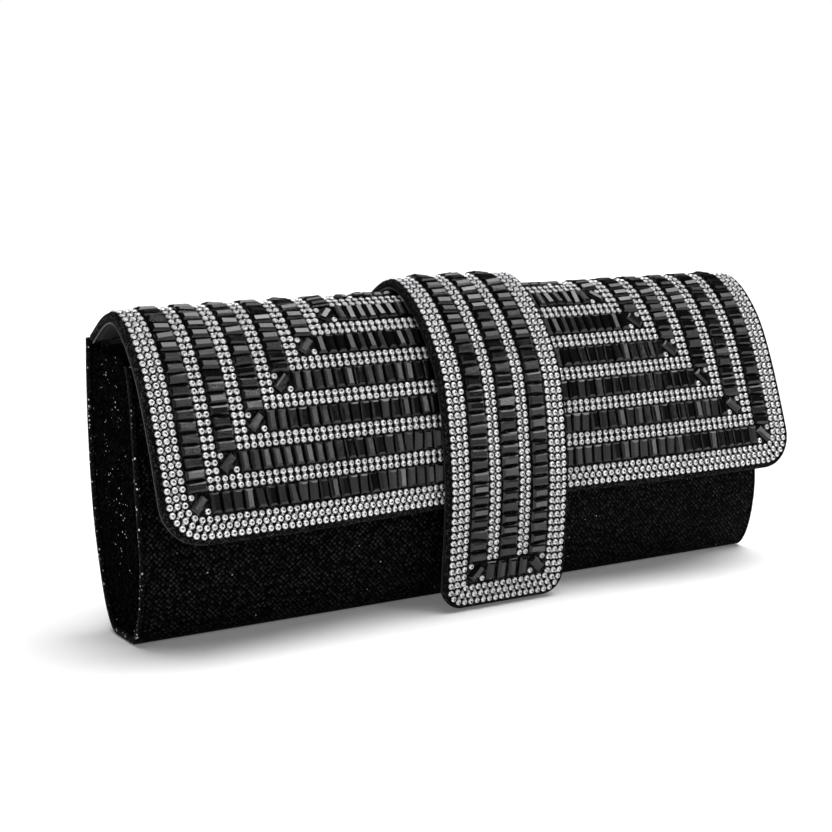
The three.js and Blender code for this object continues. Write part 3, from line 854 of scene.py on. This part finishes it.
def double_row(surface, outline, centre_inset, name, body, node):
    """Two rows of round stones along a U with square corners, with cups between them."""
    setting = Setting(surface)
    first = outline.start + STONE_RADIUS

    def sides(k):
        return [edge - centre_inset - k * ROW_PITCH for edge in (outline.half, outline.end)]

    for k in (-0.5, 0.5):
        side, foot = sides(k)
        round_stones(setting, end_places(-side, side, ROW_PITCH), foot)
        mirrored(setting, round_stones, side, end_places(first, foot, ROW_PITCH)[:-1])
    side, foot = sides(0)
    cups(setting, even_places(-side, side, ROW_PITCH), foot)
    mirrored(setting, cups, side, even_places(first, foot, ROW_PITCH))
    return setting.finish(name, ["crystal", "cup"], body, node)


# ---------------------------------------------------------------- camera, floor and light

def look_at(thing, position, target):
    thing.location = Vector(position)
    thing.rotation_euler = (Vector(target) - Vector(position)).to_track_quat("-Z", "Y").to_euler()


def add_camera():
    camera = bpy.data.objects.new("camera", bpy.data.cameras.new("camera"))
    camera.data.lens = CAMERA_LENS
    camera.data.clip_start = 0.01
    look_at(camera, CAMERA_PLACE, CAMERA_TARGET)
    bpy.context.scene.collection.objects.link(camera)
    bpy.context.scene.camera = camera


def softbox(name, position, target, size, power):
    light = bpy.data.lights.new(name, "AREA")
    light.shape = "RECTANGLE"
    light.size, light.size_y = size
    light.energy = power
    thing = bpy.data.objects.new(name, light)
    look_at(thing, position, target)
    bpy.context.scene.collection.objects.link(thing)


def add_floor():
    half = 4000
    points = [(-half, -half, 0), (half, -half, 0), (half, half, 0), (-half, half, 0)]
    look = Look("pale_floor", Roughness=0.9, Specular_IOR_Level=0.0, Emission_Strength=0.1)
    mottle = look.noise(look.place(), 3.0)
    LOOKS["floor"] = look.set(Base_Color=look.mix(mottle, grey(0.95), grey(0.97)))
    floor = make_mesh("floor", points, [[0, 1, 2, 3]], ["floor"])


def add_light():
    """A white studio: a broad soft light overhead, a white wall all round and dark between them."""
    world = bpy.data.worlds.new("studio")
    bpy.context.scene.world = world
    sky = Tree(world)
    way = sky.node("ShaderNodeTexCoord")
    height = sky.node("ShaderNodeSeparateXYZ", output=2, _0=way)
    dot = {"operation": "DOT_PRODUCT"}
    middle = Vector(OVERHEAD).normalized()
    near = sky.node("ShaderNodeVectorMath", output=1, settings=dot, _0=way, _1=middle)

    def fade(value, *ends):
        smooth = {"interpolation_type": "SMOOTHSTEP"}
        sockets = dict(zip(("_1", "_2", "_3", "_4"), ends))
        return sky.node("ShaderNodeMapRange", settings=smooth, _0=value, **sockets)

    wall = fade(height, *WALL_FADE, HORIZON_LIGHT, FILL_LIGHT)
    overhead = fade(near, *OVERHEAD_FADE, 0.0, OVERHEAD_LIGHT)
    total = sky.maths("ADD", wall, overhead)
    sky.give(sky.tree.nodes["Background"], {"Color": grey(1.0), "Strength": total})
    centre = (0, 0, 0.05)
    softbox("front_box", (0.42, -0.8, 0.58), centre, (0.12, 0.16), 0.8)
    softbox("left_box", (-0.9, -0.6, 0.5), centre, (0.05, 0.5), 0.4)


# ---------------------------------------------------------------- body

def end_sheet(side, name, outer_x, thick, top, crown_height, look):
    """A panel that fills the shell's section, with a rounded front top corner and a rounded top edge."""
    samples = 400
    front = shell.points(HALF, np.linspace(0, FRONT_LENGTH, samples), PANEL_DEPTH)
    back = shell.points(HALF, np.linspace(BASE_END, shell.length, samples), PANEL_DEPTH)

    def front_y(z):
        return np.interp(-z, -front[:, 2], front[:, 1])

    def back_y(z):
        return np.interp(z, back[:, 2], back[:, 1])

    floor_z = -PANEL_DEPTH + 0.01
    columns = 24
    rows = 48
    row_crowding = 1.6  # over 1, the rows are closer together near the foot
    ease = min(PANEL_EASE, thick / 2)
    u = np.linspace(0, 1, columns + 1)[None, :]
    v = np.linspace(0, 1, rows + 1)[:, None] ** row_crowding
    top_width = back_y(top) - front_y(top)
    from_front = np.clip(1 - u * top_width / END_CORNER_REACH, 0, 1)
    z = floor_z + (top - ease - END_CORNER_DROP * from_front**2 - floor_z) * v
    y = front_y(z) + (back_y(z) - front_y(z)) * u
    crown = crown_height * np.sin(math.pi * u) ** 0.5 * np.minimum(1, 6 * v) ** 0.5
    outer = np.stack([outer_x - crown_height + crown, y, z], -1)
    half_thick = (outer[-1, :, 0] - (outer_x - thick)) / 2
    arc = []
    for a in np.linspace(0, math.pi, 9)[1:-1]:
        x = outer_x - thick + half_thick * (1 + math.cos(a))
        arc.append(np.stack([x, y[-1], z[-1] + ease * math.sin(a)], -1))
    inner = np.stack([np.full(z.shape, outer_x - thick), y, z], -1)[::-1]
    loop = np.concatenate([outer, np.array(arc), inner])
    cloth = loop[..., 1:].reshape(-1, 2) / 10
    count = loop.shape[0]
    index = np.arange(count * (columns + 1)).reshape(count, columns + 1)
    faces = quads(np.concatenate([index, index[:1]]))
    for column, flip in ((0, False), (columns, True)):
        for i in range(count // 2):
            low, high = index[count - 1 - i, column], index[count - 2 - i, column]
            face = [index[i, column], index[i + 1, column], high, low]
            if face[1] == face[2]:
                face.pop(2)
            faces.append(face[::-1] if flip else face)
    if side > 0:
        faces = [face[::-1] for face in faces]
    loop[..., 0] *= side
    return make_mesh(name, loop.reshape(-1, 3), faces, [look], cloth)


def build_ends():
    for side, word in ((-1, "left"), (1, "right")):
        name = f"{word}_end_panel"
        # The end panels wear the darker knit with more flakes: painted shade and painted glints.
        panel = end_sheet(side, name, HALF - END_INSET, END_THICK, END_TOP, END_CROWN, "end")
        settle(panel, "body", f"{word}_end_cover", f"{word}_end_board")
        low, high = near_corner("right_end_lining"), far_corner("right_end_lining")
        name = f"{word}_end_inner"
        top = END_TOP - END_LINING_DROP
        lining = end_sheet(side, name, high[0], high[0] - low[0], top, 0.0, "satin")
        settle(lining, "body", f"{word}_end_lining")


def stitch_shape():
    """A stitch of thread, half sunk in the cloth, lying along X and arched in the middle."""
    sides = 6
    along = np.linspace(-1, 1, 7)
    angle = np.linspace(0, 2 * math.pi, sides + 1)[:-1]
    rings = []
    for t in along:
        radius = STITCH_RADIUS * (0.25 + 0.75 * math.sqrt(max(0, 1 - t**2)))
        lift = 0.5 * STITCH_RADIUS * (1 - t**2)
        x = np.full(sides, t * STITCH_LENGTH / 2)
        rings.append(np.stack([x, radius * np.cos(angle), lift + radius * np.sin(angle)], -1))
    points = np.concatenate(rings)
    faces = []
    for start in range(0, len(points) - sides, sides):
        for j in range(sides):
            k = (j + 1) % sides
            faces.append([start + j, start + k, start + sides + k, start + sides + j])
    faces += [list(range(sides - 1, -1, -1)), list(range(len(points) - sides, len(points)))]
    return points, [f[::-1] for f in faces], [PLAIN_TONE] * len(faces)


def stitch_lines(surface, name, n, facing, *lines):
    """Rows of stitches between pairs of (x, s) places, on a wall's outer (1) or inner (-1) side."""
    setting = Setting(surface)
    shape = stitch_shape()
    for (x0, s0), (x1, s1) in lines:
        share = even_places(0, 1, STITCH_PITCH / math.hypot(x1 - x0, s1 - s0))
        x, s = x0 + (x1 - x0) * share, s0 + (s1 - s0) * share
        turn = -math.atan2(s1 - s0, x1 - x0)
        setting.stamp((shape[0] * (1, 1, facing), *shape[1:]), 0, x, s, turn, n=n)
    piece = setting.finish(name, ["thread"], "body")
    weld(piece)


def lathe(surface, name, s, n, profile, look, body, nodes, facing=1):
    """A turned part standing on a surface at x = 0.

    profile holds (radius, height) places. It closes on itself or starts and ends on the axis.
    """
    segments = 96
    centre, axes = surface.frames(np.array([0.0]), np.array([s]), np.array([n]))
    angle = np.arange(segments) * 2 * math.pi / segments
    ring = np.stack([np.cos(angle), np.sin(angle)], -1)
    profile = np.array(profile, float)
    local = np.concatenate([np.column_stack([r * ring, np.full(segments, facing * h)]) for r, h in profile])
    points = local @ axes[0].T + centre[0]
    faces = []
    for i in range(len(profile) - 1):
        for j in range(segments):
            k = (j + 1) % segments
            a, b = i * segments, (i + 1) * segments
            faces.append([a + j, a + k, b + k, b + j])
    piece = make_mesh(name, points, faces, [look])
    weld(piece)
    settle(piece, body, *nodes)


def weld(piece):
    """Joins points that coincide and turns every face outwards."""
    mesh = bmesh.new()
    mesh.from_mesh(piece.data)
    bmesh.ops.remove_doubles(mesh, verts=mesh.verts, dist=1e-6)
    bmesh.ops.recalc_face_normals(mesh, faces=mesh.faces)
    mesh.to_mesh(piece.data)
    mesh.free()
    piece.data.polygons.foreach_set("use_smooth", np.full(len(piece.data.polygons), True))
    piece.data.set_sharp_from_angle(angle=math.radians(35))


def rounded(places, radius):
    """A turned profile with its corners eased by a small radius."""
    places = [np.array(place, float) for place in places]
    eased = [places[0]]
    for before, at, after in zip(places, places[1:], places[2:]):
        lengths = [np.linalg.norm(end - at) for end in (before, after)]
        ways = [(before - at) / lengths[0], (after - at) / lengths[1]]
        start, end = (at + way * min(radius, length / 2.2) for way, length in zip(ways, lengths))
        eased += [start, at + 0.3 * radius * (ways[0] + ways[1]), end]
    return eased + [places[-1]]


def build_snap():
    shell_s = shell.distance_at_height(SNAP_HEIGHT, 0, FRONT_LENGTH)
    wall = SNAP_RADIUS - SNAP_WALL
    cup = [
        (SNAP_HOLE, SNAP_SEAT), (SNAP_HOLE, 0), (SNAP_RADIUS, 0), (SNAP_RADIUS, SNAP_DEPTH),
        (wall, SNAP_DEPTH), (wall, SNAP_SEAT), (SNAP_HOLE, SNAP_SEAT),
    ]
    nodes = ["snap_socket", "socket_backplate"]
    shape = rounded(cup, 0.18)
    lathe(shell, "socket_cup", shell_s, SNAP_LIFT, shape, "nickel", "body", nodes)
    outer = wall - LAYER_GAP
    low, high = SNAP_SEAT + LAYER_GAP, SNAP_DEPTH - MAGNET_DROP
    ring = [(SNAP_HOLE, high), (SNAP_HOLE, low), (outer, low), (outer, high), (SNAP_HOLE, high)]
    shape = rounded(ring, 0.2)
    lathe(shell, "socket_magnet", shell_s, SNAP_LIFT, shape, "ferrite", "body", ["snap_magnet"])
    strap_s = strap.distance_at_height(SNAP_HEIGHT, strap.length / 2, strap.length)
    stud = [
        (0, STUD_PLATE + STUD_DEPTH), (STUD_RADIUS, STUD_PLATE + STUD_DEPTH), (STUD_RADIUS, STUD_PLATE),
        (SNAP_RADIUS, STUD_PLATE), (SNAP_RADIUS, 0), (0, 0),
    ]
    nodes = ["snap_stud", "stud_backplate"]
    shape = rounded(stud, 0.25)
    lathe(strap, "stud_plate", strap_s, STUD_PLACE, shape, "nickel", "strap", nodes, facing=-1)


def build_body():
    outline = Outline(HALF, 0, shell.length)
    # Its rim wears the knit with more flakes: a painted highlight.
    cover = slab("shell_fabric", shell, outline, *SHELL_LAYER, "shell", step=1.6, rim="edge")
    settle(cover, "body", "shell_cover", "shell_board")
    edge = SHELL_LINING_INSET
    inside = Outline(LINING_HALF, edge, shell.length - edge)
    inner = slab("shell_inner", shell, inside, *SHELL_LINING_LAYER, "satin")
    settle(inner, "body", "shell_lining")
    build_ends()
    build_mouth()
    build_hinge()
    build_pocket()
    build_snap()


def bound_edge(name, wall, edge, into, low, high, reach, half, node, *rests_on):
    """A binding folded over a wall's edge, stitched through near its own edge.

    The wall lies on the side of the edge that into (1 or -1) points to. low and high are the heights
    of the binding's two leaves, and reach is their width.
    """

    def place(s, n):
        beyond = max(0, -s, s - wall.length)
        point = Surface(wall.profile).points(0, np.clip(s, 0, wall.length), n)[1:]
        return point - into * beyond * wall.profile.along(np.clip(s, 0, wall.length))

    inner, over = edge + into * reach, edge - into * BINDING_FOLD
    fold = (place(over, low), place(over, high), place(edge, high))
    path = Profile(place(inner, low), (place(edge, low),), fold, (place(inner, high),))
    surface = Surface(path, wall.shift)
    top = 0 if into > 0 else BINDING_THICK
    outline = Outline(half, 0, path.length)
    trim = slab(name, surface, outline, top, top - BINDING_THICK, BINDING_RIM, "plain", 1.0)
    settle(trim, "body", node)
    line = path.length - BINDING_SEAM if into > 0 else BINDING_SEAM
    side = half - SEAM_END
    stitch_lines(surface, f"{name}_stitches", 0.0, into, ((-side, line), (side, line)))


def build_mouth():
    """The front wall's bound top edge."""
    half = far_corner("mouth_binding")[0]
    place = (shell, 0, 1, *MOUTH_TRIM, half)
    bound_edge("mouth_trim", *place, "mouth_binding", "shell_fabric", "shell_inner")


def build_hinge():
    """The cloth that joins the flap to the back wall: a strip sewn inside, and two folded strips over the
    hinge.
    """
    top = shell.length - HINGE_STRIP_DROP
    foot = top - HINGE_STRIP_WIDTH
    half = far_corner("hinge_strip")[0]
    strip = slab("hinge_band", shell, Outline(half, foot, top), *HINGE_STRIP_LAYER, "plain")
    settle(strip, "body", "hinge_strip")
    side, line = half - SEAM_END, foot + HINGE_SEAM
    seam = ((-side, line), (side, line))
    stitch_lines(shell, "hinge_stitches", HINGE_STRIP_LAYER[1], -1, seam)
    over = Profile(
        (23.6, 79.0),
        ((23.65, 81.5),),
        ((23.8, 84.3), (25.3, 84.9), (25.15, 85.7)),
        ((25.0, 86.4), (23.6, 86.3), (22.3, 86.95)),
    )
    places = ((23.9, 84.0), (23.2, 86.3))
    outer = bend("hinge_fabric", over, half, -HINGE_CLOTH_THICK, "plain", *places, "body", "flap")
    under = Profile(
        (22.85, 76.0),
        ((22.85, 81.0),),
        ((22.9, 82.2), (22.6, 82.5), (21.9, 82.7)),
        ((19.2, 84.45),),
    )
    places = ((22.9, 82.0), (21.7, 83.0))
    inner = bend("hinge_lining", under, half, HINGE_CLOTH_THICK, "satin", *places, "body", "flap")


def bend(name, profile, half, thick, look, start, end, first, second):
    """A strip of cloth shaped along its profile.

    It lies outwards of its profile, or inwards where thick is negative. start and end are not used.
    """
    surface = Surface(profile)
    top, bottom = max(0, thick), min(0, thick)
    outline = Outline(half, 0, profile.length)
    piece = slab(name, surface, outline, top, bottom, 0.45 * (top - bottom), look, step=0.8)
    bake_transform(piece)
    return piece


def build_pocket():
    """A slip pocket on the back lining, its bound mouth standing slightly open."""
    foot_height = near_corner("slip_pocket")[2] + POCKET_FOOT_LIFT
    bottom = shell.distance_at_height(foot_height, BASE_END, shell.length)
    top = shell.length - HINGE_STRIP_DROP - HINGE_STRIP_WIDTH - POCKET_DROP
    edge = top - POCKET_BINDING_DEPTH
    low, high = shell.points(0, bottom, 0)[2], shell.points(0, top, 0)[2]

    def loose(x, y, z):
        share = np.clip((z - low) / (high - low), 0, 1)
        return -POCKET_LOOSE * share**2 * cosine_bump(x, POCKET_LOOSE_HALF), 0 * z

    wall = Surface(shell.profile, loose)
    outline = Outline(POCKET_HALF, bottom, edge)
    pocket = slab("pocket", wall, outline, *POCKET_LAYER, "satin")
    settle(pocket, "body", "slip_pocket")
    side = POCKET_HALF - POCKET_SEAM_INSET
    foot, head = bottom + POCKET_SEAM_INSET, top - POCKET_SEAM_TOP
    corners = [(-side, head), (-side, foot), (side, foot), (side, head)]
    lines = zip(corners, corners[1:])
    stitch_lines(wall, "pocket_stitches", POCKET_LAYER[1], -1, *lines)
    place = (wall, top, -1, *POCKET_TRIM, POCKET_HALF + POCKET_TRIM_OVERHANG)
    bound_edge("pocket_trim", *place, "pocket_binding", "pocket")


# ---------------------------------------------------------------- flap

def build_flap():
    outline = Outline(HALF, 0, flap.length, FLAP_CORNER)
    cover = slab("flap_fabric", flap, outline, *FLAP_LAYER, "plain", step=1.6)
    settle(cover, "flap", "flap_cover", "flap_board")
    edge = FLAP_LINING_INSET
    inside = Outline(HALF - edge, 0, flap.length - edge, FLAP_CORNER - edge)
    # The lining's rim wears the paler satin: a painted highlight.
    inner = slab("flap_inner", flap, inside, *FLAP_LINING_LAYER, "satin", rim="binding")
    settle(inner, "flap", "flap_lining")
    stones = Outline(HALF, FLAP_STONES_START, flap.length, FLAP_CORNER)
    border(flap, stones, FLAP_MARGIN, "flap_border_stones", "flap", "flap_stone_border")
    first = FLAP_MARGIN + THREE_ROW_BAND + BAND_GAP
    for k in range(FLAP_BANDS):
        outer = first + k * PITCH
        bars = outer + BAGUETTE_BAND / 2
        rows = outer + BAGUETTE_BAND + BAND_GAP + TWO_ROW_BAND / 2
        name = f"flap_baguette_band_{k + 1}"
        baguette_band(flap, stones, bars, FLAP_BAGUETTE_PITCH, name, "flap", f"flap_baguettes_{k + 1}")
        name = f"flap_double_row_{k + 1}"
        double_row(flap, stones, rows, name, "flap", f"flap_stone_rows_{k + 1}")


# ---------------------------------------------------------------- strap

def build_strap():
    outline = Outline(STRAP_HALF, 0, strap.length, STRAP_CORNER)
    cover = slab("strap_fabric", strap, outline, *STRAP_LAYER, "plain", step=1.2)
    settle(cover, "strap", "strap_cover", "strap_board")
    edge = STRAP_LINING_INSET
    inside = Outline(STRAP_HALF - edge, 0, strap.length - edge, STRAP_CORNER - edge)
    inner = slab("strap_inner", strap, inside, *STRAP_BACKING_LAYER, "satin", step=1.5)
    settle(inner, "strap", "strap_backing")
    tab = [flap.points(0, s, STRAP_TAB_LIFT)[1:] for s in (6.4, 4.5, 2.5, 1.2)]
    root = Profile(
        tab[0], *((p,) for p in tab[1:]),
        ((24.0, 86.6), (24.45, 87.2), (24.5, 88.2)),
        ((24.6, 89.6), (22.8, 91.0), (21.0, 92.5)),
    )
    half = STRAP_HALF - STRAP_TAB_INSET
    places = ((24.4, 86.9), (25.9, 89.3))
    piece = bend("strap_root", root, half, -STRAP_TAB_THICK, "plain", *places, "flap", "strap")
    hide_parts("strap_tab")
    stones = Outline(STRAP_HALF, STRAP_STONES_START, strap.length, STRAP_CORNER)
    border(strap, stones, STRAP_MARGIN, "strap_border_stones", "strap", "strap_stone_border")
    outer = STRAP_MARGIN + THREE_ROW_BAND + STRAP_BAND_GAP
    bars = outer + BAGUETTE_BAND / 2
    name = "strap_baguette_band"
    baguette_band(strap, stones, bars, STRAP_BAGUETTE_PITCH, name, "strap", "strap_baguette_border")
    inner_edge = outer + BAGUETTE_BAND + STRAP_BAND_GAP
    column_end = strap.length - inner_edge
    row_centre = STRAP_HALF - inner_edge - TWO_ROW_BAND / 2
    for side, word in ((-1, "left"), (1, "right")):
        setting = Setting(strap)
        places = end_places(STRAP_STONES_START + STONE_RADIUS, column_end - STONE_RADIUS, ROW_PITCH)
        for k in (-0.5, 0.5):
            round_stones(setting, side * row_centre + k * ROW_PITCH, places)
        cups(setting, side * row_centre, (places[1:] + places[:-1]) / 2)
        node = f"strap_stone_rows_{word}"
        setting.finish(f"strap_double_row_{word}", ["crystal", "cup"], "strap", node)
    setting = Setting(strap)
    places = even_places(STRAP_STONES_START, column_end, STRAP_BAGUETTE_PITCH)
    baguettes(setting, 0, places)
    setting.finish("strap_middle_baguettes", ["jet"], "strap", "strap_baguettes")


# ---------------------------------------------------------------- assembly

bpy.context.scene.view_settings.view_transform = "Standard"
add_camera()
add_floor()
add_light()
build_body()
build_flap()
build_strap()
